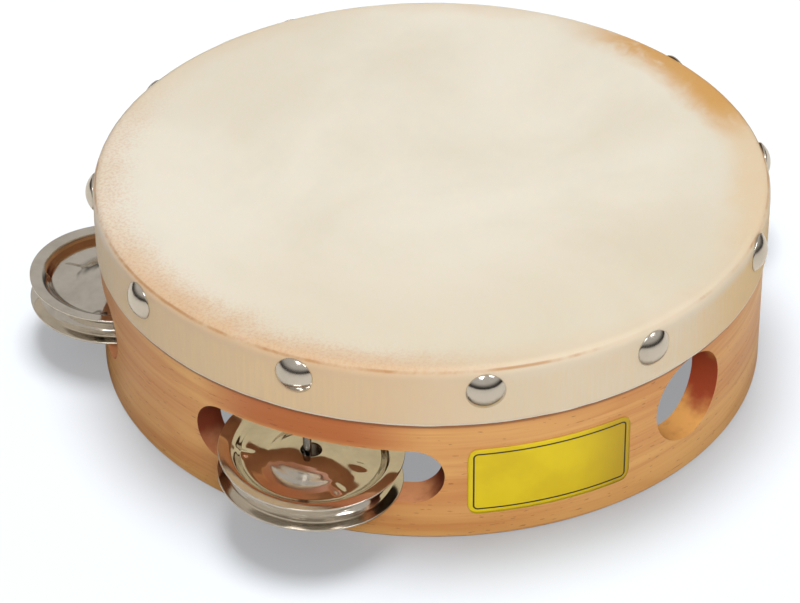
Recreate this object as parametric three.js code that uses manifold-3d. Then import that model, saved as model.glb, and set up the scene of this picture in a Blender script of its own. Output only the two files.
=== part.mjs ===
// Headed tambourine: a bent wooden hoop with a tacked hide head, four pairs of loose jingles on
// nails, a hand hole and a plain sticker. Millimetres, +Z up towards the head. The origin is on
// the drum's axis in the plane of the open edge, and azimuth runs anticlockwise from +X.

import * as THREE from 'three';
import { mergeVertices } from 'three/addons/utils/BufferGeometryUtils.js';
import Module from 'manifold-3d';

const wasm = await Module();
wasm.setup();

// Hoop
const hoopDiameter = 203.2;
const hoopWall = 9.5;
const openEdgeRound = 0.7;
const lowerBand = 12.9;
const upperBand = 9.8;

// Head: a hide disc turned down over the hoop as a skirt
const headThickness = 0.6;
const headBendRadius = 3;
const skirtDepth = 19.1;

// Jingles, in pairs back to back. The dish is the height of the rim above the pressed ring on which
// the two of a pair meet, and the travel is the free height that the most splayed pair has.
const jingleDiameter = 54;
const jingleSheet = 0.6;
const jingleDish = 3.4;
const jingleHole = 6.2;
const jingleTravel = 4.6;
const slotEndRoom = 12.35;

// Nails that carry the jingles
const pinDiameter = 2.5;
const pinHeadDiameter = 5;
const pinHeadThickness = 1;
const pinHeadSink = 0.4;
const pinBite = 8;

// Domed tacks that hold the head
const tackHeadDiameter = 11.6;
const tackDomeHeight = 2.7;
const tackBrim = 0.4;
const tackShankDiameter = 1.8;
const tackShankLength = 8;
const tackPointLength = 2.5;

// Sticker and hand hole, set out along the hoop from the end of the first jingle slot
const labelWidth = 50.4;
const labelHeight = 23;
const labelThickness = 0.3;
const labelCorner = 3;
const labelFromSlot = 6.6;
const labelFromEdge = 8.5;
const handHoleDiameter = 28.6;
const handHoleFromLabel = 10.2;
const handHoleBelowSkirt = 1;

// Gap between pieces that touch, and overrun of every cutter past the wood
const seatGap = 0.3;
const overrun = 3;

// The five stations round the hoop: the jingles take four, and the fifth side has the hand hole.
// The slots are cut and the nails driven by eye, so each slot is turned a little from its even
// place, and each nail from the middle of its slot. Each jingle has its own lean along the slot
// and outwards. All of these are degrees. A pair lies a little off its nail, by shares of the play
// that its holes leave round the nail.
const stationCount = 5;
const firstStationAzimuth = -160.7;
const pairs = [
  {
    stepsOn: 0, slotTurn: 0, pinTurn: -1.6, alongShare: 0.8, outShare: 0.25,
    lower: { leanAlong: 3.7, leanOut: -2 }, upper: { leanAlong: 3.5, leanOut: 1.8 },
  },
  {
    stepsOn: 4, slotTurn: 1.6, pinTurn: -0.3, alongShare: -0.2, outShare: 0.4,
    lower: { leanAlong: -0.4, leanOut: -1.6 }, upper: { leanAlong: -0.8, leanOut: -2.1 },
  },
  {
    stepsOn: 3, slotTurn: 0, pinTurn: -0.5, alongShare: 0.5, outShare: -0.4,
    lower: { leanAlong: -1.5, leanOut: -0.6 }, upper: { leanAlong: -1.5, leanOut: 1.2 },
  },
  {
    stepsOn: 2, slotTurn: -0.4, pinTurn: 0.7, alongShare: -0.3, outShare: 0.2,
    lower: { leanAlong: 1.4, leanOut: 0.6 }, upper: { leanAlong: 2, leanOut: -0.9 },
  },
];

// The tacks are set by eye, so neither their steps nor their heights are even (degrees of azimuth,
// and millimetres from the head down to the middle of the tack).
const tackAzimuths = [-163.3, -131.9, -102.1, -70.9, -41.8, -9.3, 28, 66.6, 97.8, 129.1, 163.7];
const tackDrops = [6.8, 7.6, 7.7, 6, 6.5, 6.5, 8.1, 7, 7, 7.4, 7.5];

// Section of a jingle: a raised middle round the hole, the ring pressed down round it, a steep
// wall and the flat rim, in shares of the jingle's radius and of the dish above the ring
const holeRiseShare = 0.82;
const ringRadiusShare = 0.65;
const jingleSectionShares = [
  [0.21, 0.8], [0.54, 0], [ringRadiusShare, 0], [0.79, 0.42], [0.89, 0.98], [1, 1],
];

// Counts of flat faces on round pieces
const hoopFaces = 72;
const jingleFaces = 36;
const tackFaces = 12;
const holeFaces = 32;
const arcSteps = 3;

// Sizes that follow from the driving ones
const hoopRadius = hoopDiameter / 2;
const hoopInner = hoopRadius - hoopWall;
const wallMiddle = hoopRadius - hoopWall / 2;
const jingleRadius = jingleDiameter / 2;
const jingleHeight = jingleDish + jingleSheet;
const jinglePlay = (jingleHole - pinDiameter) / 2 - seatGap;
const slotFloor = lowerBand;
const slotHeight = 2 * seatGap + Math.max(...pairs.map(stackHeight)) + jingleTravel;
const slotTop = slotFloor + slotHeight;
const slotLength = jingleDiameter + 2 * slotEndRoom;
const skirtEdge = slotTop + upperBand;
const drumHeight = skirtEdge + skirtDepth;
const hoopTop = drumHeight - headThickness - seatGap;
const skirtInner = hoopRadius + seatGap;
const skirtOuter = skirtInner + headThickness;
const tackSeat = skirtOuter + seatGap;

function radians(degrees) {
  return THREE.MathUtils.degToRad(degrees);
}

// How far a leaning jingle's rim reaches above its middle, where it crosses the wall of the hoop
function leanRise({ leanAlong, leanOut }) {
  return jingleRadius * Math.sin(radians(Math.abs(leanAlong)))
    + hoopWall / 2 * Math.sin(radians(Math.abs(leanOut)));
}

// How far the two middles of a pair move apart because the jingles lean differently
function splayRise({ lower, upper }) {
  const splay = Math.hypot(upper.leanAlong - lower.leanAlong, upper.leanOut - lower.leanOut);
  return jingleRadius * ringRadiusShare * Math.sin(radians(splay));
}

// Height of a pair as it lies in its slot
function stackHeight(pair) {
  const bodies = 2 * jingleHeight + seatGap;
  return leanRise(pair.lower) + bodies + splayRise(pair) + leanRise(pair.upper);
}

function onHoop(radius, azimuth, height) {
  return new THREE.Vector3(radius * Math.cos(azimuth), radius * Math.sin(azimuth), height);
}

// Points of a rounded corner in a section, from one direction to another round a centre
function corner(centre, radius, from, to) {
  const points = [];
  for (let step = 0; step <= arcSteps; step++) {
    const angle = radians(from + (to - from) * step / arcSteps);
    points.push([centre[0] + radius * Math.cos(angle), centre[1] + radius * Math.sin(angle)]);
  }
  return points;
}

// Solid of revolution about +Z from [radius, height] points that run anticlockwise
function revolve(section, faces) {
  const points = section.map(([radius, height]) => new THREE.Vector2(radius, height));
  return new THREE.LatheGeometry(points, faces).rotateX(Math.PI / 2);
}

// A block bent round the hoop between two radii. Its outline is a list of columns, each with a
// distance along the outside of the hoop and a lowest and highest point; a column that is only
// an edge, at a round end, has the same point twice.
function bentBlock(columns, innerRadius, outerRadius, azimuth) {
  const positions = [];
  for (const { along, low, high } of columns) {
    const turn = azimuth + along / hoopRadius;
    positions.push(
      ...onHoop(outerRadius, turn, low), ...onHoop(outerRadius, turn, high),
      ...onHoop(innerRadius, turn, high), ...onHoop(innerRadius, turn, low),
    );
  }
  const indices = [];
  const quad = (a, b, c, d) => indices.push(a, b, c, a, c, d);
  for (let column = 0; column + 1 < columns.length; column++) {
    const near = 4 * column;
    const far = near + 4;
    for (let side = 0; side < 4; side++) {
      const next = (side + 1) % 4;
      quad(near + side, far + side, far + next, near + next);
    }
  }
  const end = 4 * (columns.length - 1);
  quad(0, 1, 2, 3);
  quad(end + 3, end + 2, end + 1, end);
  const geometry = new THREE.BufferGeometry();
  geometry.setAttribute('position', new THREE.Float32BufferAttribute(positions, 3));
  geometry.setIndex(indices);
  return geometry;
}

// Columns of a rectangle with rounded ends or corners, bent round the hoop
function roundedColumns(length, height, radius, middleHeight) {
  const steps = 2 * arcSteps;
  const half = [];
  for (let step = 0; step <= steps; step++) {
    const angle = Math.PI / 2 * step / steps;
    half.push({
      along: -length / 2 + radius * (1 - Math.cos(angle)),
      reach: height / 2 - radius * (1 - Math.sin(angle)),
    });
  }
  const straight = length - 2 * radius;
  const parts = Math.ceil(straight / hoopRadius / (2 * Math.PI / hoopFaces));
  const middle = [];
  for (let part = 1; part < parts; part++) {
    middle.push({ along: -straight / 2 + straight * part / parts, reach: height / 2 });
  }
  const mirrored = half.map(({ along, reach }) => ({ along: -along, reach })).reverse();
  return [...half, ...middle, ...mirrored].map(({ along, reach }) => (
    { along, low: middleHeight - reach, high: middleHeight + reach }
  ));
}

// A closed geometry as a solid that can be joined and cut
function solid(geometry) {
  const bare = geometry.clone();
  bare.deleteAttribute('normal');
  bare.deleteAttribute('uv');
  const merged = mergeVertices(bare);
  const triangles = [];
  for (let index = 0; index < merged.index.count; index += 3) {
    const [a, b, c] = merged.index.array.slice(index, index + 3);
    if (a !== b && b !== c && c !== a) triangles.push(a, b, c);
  }
  return new wasm.Manifold(new wasm.Mesh({
    numProp: 3,
    vertProperties: new Float32Array(merged.attributes.position.array),
    triVerts: new Uint32Array(triangles),
  }));
}

function geometryOf(body) {
  const { vertProperties, triVerts } = body.getMesh();
  const geometry = new THREE.BufferGeometry();
  geometry.setAttribute('position', new THREE.BufferAttribute(vertProperties, 3));
  geometry.setIndex(new THREE.BufferAttribute(triVerts, 1));
  return geometry;
}

// A round hole or cutter along the hoop's radius, between two distances from its axis
function radialCylinder(diameter, from, to, azimuth, height, faces) {
  const geometry = new THREE.CylinderGeometry(diameter / 2, diameter / 2, to - from, faces);
  geometry.rotateZ(-Math.PI / 2).translate((from + to) / 2, 0, height);
  return geometry.rotateZ(azimuth);
}

function uprightCylinder(diameter, from, to, azimuth) {
  const geometry = new THREE.CylinderGeometry(diameter / 2, diameter / 2, to - from, tackFaces);
  const centre = onHoop(wallMiddle, azimuth, (from + to) / 2);
  return geometry.rotateX(Math.PI / 2).translate(...centre);
}

const finishes = {
  wood: { color: 0xd09a62, roughness: 0.45, metalness: 0 },
  hide: { color: 0xe6decc, roughness: 0.6, metalness: 0 },
  nickel: { color: 0xc9c4bb, roughness: 0.16, metalness: 1 },
  steel: { color: 0x9a9996, roughness: 0.3, metalness: 1 },
  sticker: { color: 0xd2be2a, roughness: 0.4, metalness: 0 },
};

function piece(name, geometry, finish) {
  const mesh = new THREE.Mesh(geometry, new THREE.MeshStandardMaterial(finishes[finish]));
  mesh.name = name;
  return mesh;
}

function slotAzimuth(pair) {
  const even = radians(firstStationAzimuth) + 2 * Math.PI * pair.stepsOn / stationCount;
  return even + radians(pair.slotTurn);
}

function pinAzimuth(pair) {
  return slotAzimuth(pair) + radians(pair.pinTurn);
}

const slotEndAzimuth = slotAzimuth(pairs[0]) + slotLength / 2 / hoopRadius;
const labelAzimuth = slotEndAzimuth + (labelFromSlot + labelWidth / 2) / hoopRadius;
const labelEndAzimuth = labelAzimuth + labelWidth / 2 / hoopRadius;
const handHoleAzimuth = labelEndAzimuth + (handHoleFromLabel + handHoleDiameter / 2) / hoopRadius;
const handHoleHeight = skirtEdge - handHoleBelowSkirt - handHoleDiameter / 2;
const tackPlaces = tackAzimuths.map((azimuth, index) => (
  { azimuth: radians(azimuth), height: drumHeight - tackDrops[index] }
));

function hoop() {
  const bearingRadius = headBendRadius - headThickness - seatGap;
  const section = [
    ...corner([hoopRadius - openEdgeRound, openEdgeRound], openEdgeRound, -90, 0),
    ...corner([hoopRadius - bearingRadius, hoopTop - bearingRadius], bearingRadius, 0, 90),
    [hoopInner + openEdgeRound, hoopTop],
    [hoopInner, hoopTop - openEdgeRound],
    [hoopInner, openEdgeRound],
    [hoopInner + openEdgeRound, 0],
    [hoopRadius - openEdgeRound, 0],
  ];
  const slotMiddle = (slotFloor + slotTop) / 2;
  const slotOutline = roundedColumns(slotLength, slotHeight, slotHeight / 2, slotMiddle);
  const cutFrom = hoopInner - overrun;
  const cutTo = hoopRadius + overrun;
  const cutters = [
    radialCylinder(handHoleDiameter, cutFrom, cutTo, handHoleAzimuth, handHoleHeight, holeFaces),
  ];
  for (const pair of pairs) {
    const azimuth = pinAzimuth(pair);
    const headTop = pinHeadSink + pinHeadThickness + seatGap;
    const pinTop = slotTop + pinBite + seatGap;
    cutters.push(
      bentBlock(slotOutline, cutFrom, cutTo, slotAzimuth(pair)),
      uprightCylinder(pinHeadDiameter + 2 * seatGap, -overrun, headTop, azimuth),
      uprightCylinder(pinDiameter + 2 * seatGap, 0, pinTop, azimuth),
    );
  }
  const tackBottom = tackSeat - tackShankLength - seatGap;
  for (const { azimuth, height } of tackPlaces) {
    const width = tackShankDiameter + 2 * seatGap;
    cutters.push(radialCylinder(width, tackBottom, cutTo, azimuth, height, tackFaces));
  }
  let body = solid(revolve(section, hoopFaces));
  for (const cutter of cutters) body = body.subtract(solid(cutter));
  return piece('hoop', geometryOf(body), 'wood');
}

function head() {
  const bendCentre = [skirtOuter - headBendRadius, drumHeight - headBendRadius];
  const section = [
    [skirtInner, skirtEdge],
    [skirtOuter, skirtEdge],
    ...corner(bendCentre, headBendRadius, 0, 90),
    [0, drumHeight],
    [0, drumHeight - headThickness],
    ...corner(bendCentre, headBendRadius - headThickness, 90, 0),
    [skirtInner, skirtEdge],
  ];
  let body = solid(revolve(section, hoopFaces));
  for (const { azimuth, height } of tackPlaces) {
    const width = tackShankDiameter + 2 * seatGap;
    const from = skirtInner - seatGap;
    const to = skirtOuter + overrun;
    body = body.subtract(solid(radialCylinder(width, from, to, azimuth, height, tackFaces)));
  }
  return piece('drum_head', geometryOf(body), 'hide');
}

// A tack points along -Z with the underside of its dome at the origin.
function tackShape() {
  const headRadius = tackHeadDiameter / 2;
  const rise = tackDomeHeight - tackBrim;
  const domeRadius = (headRadius ** 2 + rise ** 2) / (2 * rise);
  const reach = Math.asin(headRadius / domeRadius);
  const section = [
    [0, -tackShankLength],
    [tackShankDiameter / 2, tackPointLength - tackShankLength],
    [tackShankDiameter / 2, 0],
    [headRadius, 0],
  ];
  for (let step = arcSteps; step >= 0; step--) {
    const angle = reach * step / arcSteps;
    const height = tackDomeHeight - domeRadius * (1 - Math.cos(angle));
    section.push([domeRadius * Math.sin(angle), height]);
  }
  return revolve(section, tackFaces);
}

function tacks() {
  const shape = tackShape();
  return tackPlaces.map(({ azimuth, height }, index) => {
    const tack = piece(`tack_${String(index + 1).padStart(2, '0')}`, shape, 'nickel');
    tack.position.copy(onHoop(tackSeat, azimuth, height));
    tack.rotation.set(0, Math.PI / 2, azimuth, 'ZYX');
    return tack;
  });
}

function pinShape() {
  const shankRadius = pinDiameter / 2;
  const headRadius = pinHeadDiameter / 2;
  const headTop = pinHeadSink + pinHeadThickness;
  return revolve([
    [0, pinHeadSink],
    [headRadius, pinHeadSink],
    [headRadius, headTop],
    [shankRadius, headTop],
    [shankRadius, slotTop + pinBite],
    [0, slotTop + pinBite],
  ], tackFaces);
}

// A jingle with its dish opening upwards and the underside of its ring in the plane z = 0
function jingleShape() {
  const underside = [
    [jingleHole / 2, jingleDish * holeRiseShare],
    ...jingleSectionShares.map(([out, up]) => [jingleRadius * out, jingleDish * up]),
  ];
  const topSide = underside.map(([out, up]) => [out, up + jingleSheet]).reverse();
  return revolve([...underside, ...topSide, underside[0]], jingleFaces);
}

// A jingle on its nail: the place of its ring's middle, its lean, and for the lower one of a
// pair a turn upside down, so that the rings meet
function leaningJingle(name, geometry, pair, lean, height, upsideDown) {
  const azimuth = pinAzimuth(pair);
  const jingle = piece(name, geometry, 'nickel');
  if (upsideDown) jingle.rotation.x = Math.PI;
  const seat = new THREE.Group();
  seat.add(jingle);
  seat.position.copy(onHoop(wallMiddle + jinglePlay * pair.outShare, azimuth, height));
  seat.position.x -= jinglePlay * pair.alongShare * Math.sin(azimuth);
  seat.position.y += jinglePlay * pair.alongShare * Math.cos(azimuth);
  seat.rotation.set(-radians(lean.leanAlong), radians(lean.leanOut), azimuth, 'ZYX');
  return seat;
}

// Each station has its nail and two jingles. The lower one's rim touches the slot's floor at its
// low side, and the upper one's ring rests on the lower one's.
function stations() {
  const pinGeometry = pinShape();
  const jingleGeometry = jingleShape();
  const group = new THREE.Group();
  pairs.forEach((pair, index) => {
    const label = index + 1;
    const pin = piece(`jingle_pin_${label}`, pinGeometry, 'steel');
    pin.position.copy(onHoop(wallMiddle, pinAzimuth(pair), 0));
    const lowerRing = slotFloor + seatGap + leanRise(pair.lower) + jingleHeight;
    const upperRing = lowerRing + seatGap + splayRise(pair);
    group.add(
      pin,
      leaningJingle(`jingle_${label}_lower`, jingleGeometry, pair, pair.lower, lowerRing, true),
      leaningJingle(`jingle_${label}_upper`, jingleGeometry, pair, pair.upper, upperRing, false),
    );
  });
  return group;
}

function label() {
  const middleHeight = labelFromEdge + labelHeight / 2;
  const outline = roundedColumns(labelWidth, labelHeight, labelCorner, middleHeight);
  const inner = hoopRadius + seatGap;
  const body = solid(bentBlock(outline, inner, inner + labelThickness, labelAzimuth));
  return piece('label', geometryOf(body), 'sticker');
}

const tambourine = new THREE.Group();
tambourine.add(hoop(), head(), ...tacks(), stations(), label());

export default tambourine;
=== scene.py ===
import math
import bmesh
import bpy
import numpy as np
from mathutils import Matrix, Vector, noise


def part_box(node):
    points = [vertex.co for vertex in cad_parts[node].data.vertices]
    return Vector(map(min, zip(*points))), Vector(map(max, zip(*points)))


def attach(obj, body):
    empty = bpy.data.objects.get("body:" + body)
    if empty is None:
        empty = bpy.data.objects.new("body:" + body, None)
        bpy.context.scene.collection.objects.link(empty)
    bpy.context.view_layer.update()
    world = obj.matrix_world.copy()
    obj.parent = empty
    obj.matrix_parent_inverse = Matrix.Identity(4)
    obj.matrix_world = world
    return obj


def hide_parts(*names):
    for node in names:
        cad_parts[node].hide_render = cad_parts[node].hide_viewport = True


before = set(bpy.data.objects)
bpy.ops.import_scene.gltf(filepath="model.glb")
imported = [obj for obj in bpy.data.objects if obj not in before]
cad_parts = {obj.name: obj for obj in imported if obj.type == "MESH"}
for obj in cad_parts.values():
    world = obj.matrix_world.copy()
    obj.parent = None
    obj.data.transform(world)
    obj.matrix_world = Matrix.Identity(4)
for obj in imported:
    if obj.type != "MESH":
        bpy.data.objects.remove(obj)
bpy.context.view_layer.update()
mm = 0.001

bpy.context.scene.view_settings.view_transform = "Standard"


# Nodes and meshes

def add(tree, kind, inputs=(), **settings):
    made = tree.nodes.new(kind)
    for key, value in settings.items():
        setattr(made, key, value)
    pairs = inputs.items() if isinstance(inputs, dict) else enumerate(inputs)
    for key, value in pairs:
        if isinstance(value, bpy.types.NodeSocket):
            tree.links.new(value, made.inputs[key])
        else:
            made.inputs[key].default_value = value
    return made


def maths(tree, operation, *values):
    return add(tree, "ShaderNodeMath", values, operation=operation).outputs[0]


def product(tree, first, *others):
    for other in others:
        first = maths(tree, "MULTIPLY", first, other)
    return first


def squares(tree, first, second):  # the sum of two squares
    return maths(tree, "ADD", product(tree, first, first), product(tree, second, second))


def ramp(tree, value, low, high, least=0.0, most=1.0):  # a smooth step of a value between two limits
    limits = [value, low, high, least, most]
    return add(tree, "ShaderNodeMapRange", limits, interpolation_type="SMOOTHSTEP").outputs[0]


def noiseOf(tree, vector, look):  # a look is scale, detail, roughness and distortion
    inputs = dict(zip(("Scale", "Detail", "Roughness", "Distortion"), look))
    return add(tree, "ShaderNodeTexNoise", {"Vector": vector, **inputs}).outputs[0]


def mixed(tree, amount, first, second):  # colours mixed by a factor
    made = add(tree, "ShaderNodeMix", {0: amount}, data_type="RGBA")
    for slot, value in ((6, first), (7, second)):
        if isinstance(value, bpy.types.NodeSocket):
            tree.links.new(value, made.inputs[slot])
        else:
            made.inputs[slot].default_value = value
    return made.outputs[2]


def colour(code):  # an sRGB hex code as the linear colour that a socket takes
    parts = [int(code[i:i + 2], 16) / 255 for i in (0, 2, 4)]
    return tuple(((c + 0.055) / 1.055) ** 2.4 if c > 0.04045 else c / 12.92 for c in parts) + (1.0,)


def material(name, finish):
    made = bpy.data.materials.new(name)
    made.use_nodes = True
    shader = made.node_tree.nodes["Principled BSDF"]
    for key, value in finish.items():
        shader.inputs[key].default_value = value
    return made, made.node_tree, shader


def bump(tree, shader, height, depth, strength):
    made = add(tree, "ShaderNodeBump", {"Strength": strength, "Distance": depth, "Height": height})
    tree.links.new(made.outputs[0], shader.inputs["Normal"])


def smoothShaded(mesh):
    mesh.polygons.foreach_set("use_smooth", [True] * len(mesh.polygons))


def meshObject(name, vertices, faces, smooth=True):
    mesh = bpy.data.meshes.new(name)
    mesh.from_pydata([tuple(v) for v in vertices], [], faces)
    mesh.update()
    if smooth:
        smoothShaded(mesh)
    made = bpy.data.objects.new(name, mesh)
    bpy.context.scene.collection.objects.link(made)
    return made


# turns [radius, height] points round +Z, and points that run anticlockwise give outward faces
def lathe(name, outline, steps, closed):
    vertices = []
    rings = []
    for radius, height in outline:
        if radius == 0:
            rings.append([len(vertices)] * steps)
            vertices.append((0, 0, height))
            continue
        rings.append(list(range(len(vertices), len(vertices) + steps)))
        for step in range(steps):
            angle = 2 * math.pi * step / steps
            vertices.append((radius * math.cos(angle), radius * math.sin(angle), height))
    faces = []
    pairs = list(zip(rings, rings[1:]))
    if closed:
        pairs.append((rings[-1], rings[0]))
    for low, high in pairs:
        for step in range(steps):
            following = (step + 1) % steps
            corners = [low[step], low[following], high[following], high[step]]
            face = [c for i, c in enumerate(corners) if c not in corners[:i]]
            if len(face) > 2:
                faces.append(face)
    return meshObject(name, vertices, faces)


def arc(centre, radius, start, end, steps):
    points = []
    for step in range(steps + 1):
        angle = math.radians(start + (end - start) * step / steps)
        points.append((centre[0] + radius * math.cos(angle), centre[1] + radius * math.sin(angle)))
    return points


def evaluated(made):  # the object's mesh with its modifiers applied, as a plain mesh
    bpy.context.view_layer.update()
    shape = bpy.data.meshes.new_from_object(made.evaluated_get(bpy.context.evaluated_depsgraph_get()))
    made.modifiers.clear()
    made.data = shape


def soften(made, width, segments, least):  # a bevel on the edges that turn more than the least angle
    modifier = made.modifiers.new("arris", "BEVEL")
    modifier.width = width
    modifier.segments = segments
    modifier.limit_method = "ANGLE"
    modifier.angle_limit = math.radians(least)


def newTree(name, inputs):
    tree = bpy.data.node_groups.new(name, "GeometryNodeTree")
    tree.interface.new_socket("Geometry", in_out="INPUT", socket_type="NodeSocketGeometry")
    for label, kind in inputs:
        tree.interface.new_socket(label, in_out="INPUT", socket_type="NodeSocket" + kind)
    tree.interface.new_socket("Geometry", in_out="OUTPUT", socket_type="NodeSocketGeometry")
    return tree, add(tree, "NodeGroupInput").outputs, add(tree, "NodeGroupOutput")


def nodesOn(made, tree, values):
    modifier = made.modifiers.new(tree.name, "NODES")
    modifier.node_group = tree
    for item in tree.interface.items_tree:
        if item.item_type == "SOCKET" and item.in_out == "INPUT" and item.name in values:
            modifier[item.identifier] = values[item.name]


def atAzimuth(radius, degrees, height):
    angle = math.radians(degrees)
    return Vector((radius * math.cos(angle), radius * math.sin(angle), height))


def middleOf(node):
    low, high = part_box(node)
    return (low + high) / 2


def azimuthOf(node):
    middle = middleOf(node)
    return math.degrees(math.atan2(middle.y, middle.x))


# Camera, at the photograph's place

camera = {
    "lens": 157.73,
    "sensor": 36,
    "nearest": 50 * mm,
    "place": Vector((-687.6, -564.2, 640.5)) * mm,
    "azimuth": -50.0,
    "elevation": 35.254,
    "roll": -0.408,
}


def makeCamera():
    data = bpy.data.cameras.new("camera")
    data.lens = camera["lens"]
    data.sensor_width = camera["sensor"]
    data.clip_start = camera["nearest"]
    made = bpy.data.objects.new("camera", data)
    bpy.context.scene.collection.objects.link(made)
    turn = Matrix.Rotation(math.radians(camera["azimuth"]), 4, "Z")
    tilt = Matrix.Rotation(math.radians(90 - camera["elevation"]), 4, "X")
    roll = Matrix.Rotation(math.radians(camera["roll"]), 4, "Z")
    made.matrix_world = Matrix.Translation(camera["place"]) @ turn @ tilt @ roll
    bpy.context.scene.camera = made


makeCamera()
print("camera is in place")


# Studio: pale floor, soft lamps, grey room

studio = {
    "floorSize": 8.0,
    "floorColour": "999da2",
    "floorInMetal": "a5a19a",  # the floor as polished metal mirrors it
    "floorFinish": {"Roughness": 0.75, "Specular IOR Level": 0.2},
    "floorLift": 0.38,         # plain cool white that the camera sees added to the floor
    "liftColour": "e8ebf0",
    "roomHigh": "f5efe6",
    "roomLow": "4c4844",
    "roomFade": (0.08, 0.42),  # heights between which the room turns from low to high
    "roomStrength": 0.6,
    # the broad lamps don't show in polished metal, and the small bright ones give it its highlights
    "lamps": {
        "key": {"azimuth": 45, "elevation": 72, "distance": 1.9, "size": 0.8, "power": 8.5,
                "lights": "all", "inMetal": False},
        "below": {"azimuth": 40, "elevation": 79, "distance": 1.9, "size": 1.05, "power": 58.0,
                  "lights": "floor", "inMetal": False},
        "front": {"azimuth": -131, "elevation": 36, "distance": 2.2, "size": 1.2, "power": 31.0,
                  "lights": "object", "inMetal": False},
        "side": {"azimuth": -40, "elevation": 30, "distance": 2.2, "size": 0.9, "power": 2.0,
                 "lights": "all", "inMetal": False},
        "glintLeft": {"azimuth": -152, "elevation": 53, "distance": 2.0, "size": 0.7, "power": 8.0,
                      "lights": "object", "inMetal": True},
        "glintRight": {"azimuth": -80, "elevation": 50, "distance": 2.0, "size": 0.75, "power": 9.0,
                       "lights": "object", "inMetal": True},
    },
}


def makeFloor():
    half = studio["floorSize"] / 2
    corners = [(-half, -half, 0), (half, -half, 0), (half, half, 0), (-half, half, 0)]
    floor = meshObject("floor", corners, [(0, 1, 2, 3)], smooth=False)
    made, tree, shader = material("paleFloor", studio["floorFinish"])
    rays = add(tree, "ShaderNodeLightPath").outputs
    seen, mirrored = colour(studio["floorColour"]), colour(studio["floorInMetal"])
    tree.links.new(mixed(tree, rays["Is Glossy Ray"], seen, mirrored), shader.inputs["Base Color"])
    lift = product(tree, rays["Is Camera Ray"], studio["floorLift"])
    glow = add(tree, "ShaderNodeEmission", {"Color": colour(studio["liftColour"]), "Strength": lift})
    both = add(tree, "ShaderNodeAddShader", [shader.outputs[0], glow.outputs[0]])
    tree.links.new(both.outputs[0], tree.nodes["Material Output"].inputs["Surface"])
    floor.data.materials.append(made)
    return floor


def makeRoom():
    world = bpy.data.worlds.new("room")
    world.use_nodes = True
    bpy.context.scene.world = world
    tree = world.node_tree
    where = add(tree, "ShaderNodeTexCoord").outputs["Generated"]
    height = add(tree, "ShaderNodeSeparateXYZ", [where]).outputs["Z"]
    fade = ramp(tree, height, *studio["roomFade"])
    tone = mixed(tree, fade, colour(studio["roomLow"]), colour(studio["roomHigh"]))
    tree.links.new(tone, tree.nodes["Background"].inputs["Color"])
    tree.nodes["Background"].inputs["Strength"].default_value = studio["roomStrength"]


def makeLamps(floor):
    receivers = {}
    for name, state in (("floor", "INCLUDE"), ("object", "EXCLUDE")):
        receivers[name] = bpy.data.collections.new(name + "Lamps")
        receivers[name].objects.link(floor)
        receivers[name].collection_objects[0].light_linking.link_state = state
    for name, lamp in studio["lamps"].items():
        data = bpy.data.lights.new(name, "AREA")
        data.shape = "DISK"
        data.size = lamp["size"]
        data.energy = lamp["power"]
        made = bpy.data.objects.new(name, data)
        bpy.context.scene.collection.objects.link(made)
        rise = math.radians(lamp["elevation"])
        level = lamp["distance"] * math.cos(rise)
        made.location = atAzimuth(level, lamp["azimuth"], lamp["distance"] * math.sin(rise))
        made.rotation_euler = made.location.to_track_quat("Z", "Y").to_euler()
        made.visible_glossy = lamp["inMetal"]
        made.visible_diffuse = not lamp["inMetal"]
        made.light_linking.receiver_collection = receivers.get(lamp["lights"])


makeRoom()
makeLamps(makeFloor())
print("studio is lit")


# Hoop: bent wood with four jingle slots and a hand hole

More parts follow.
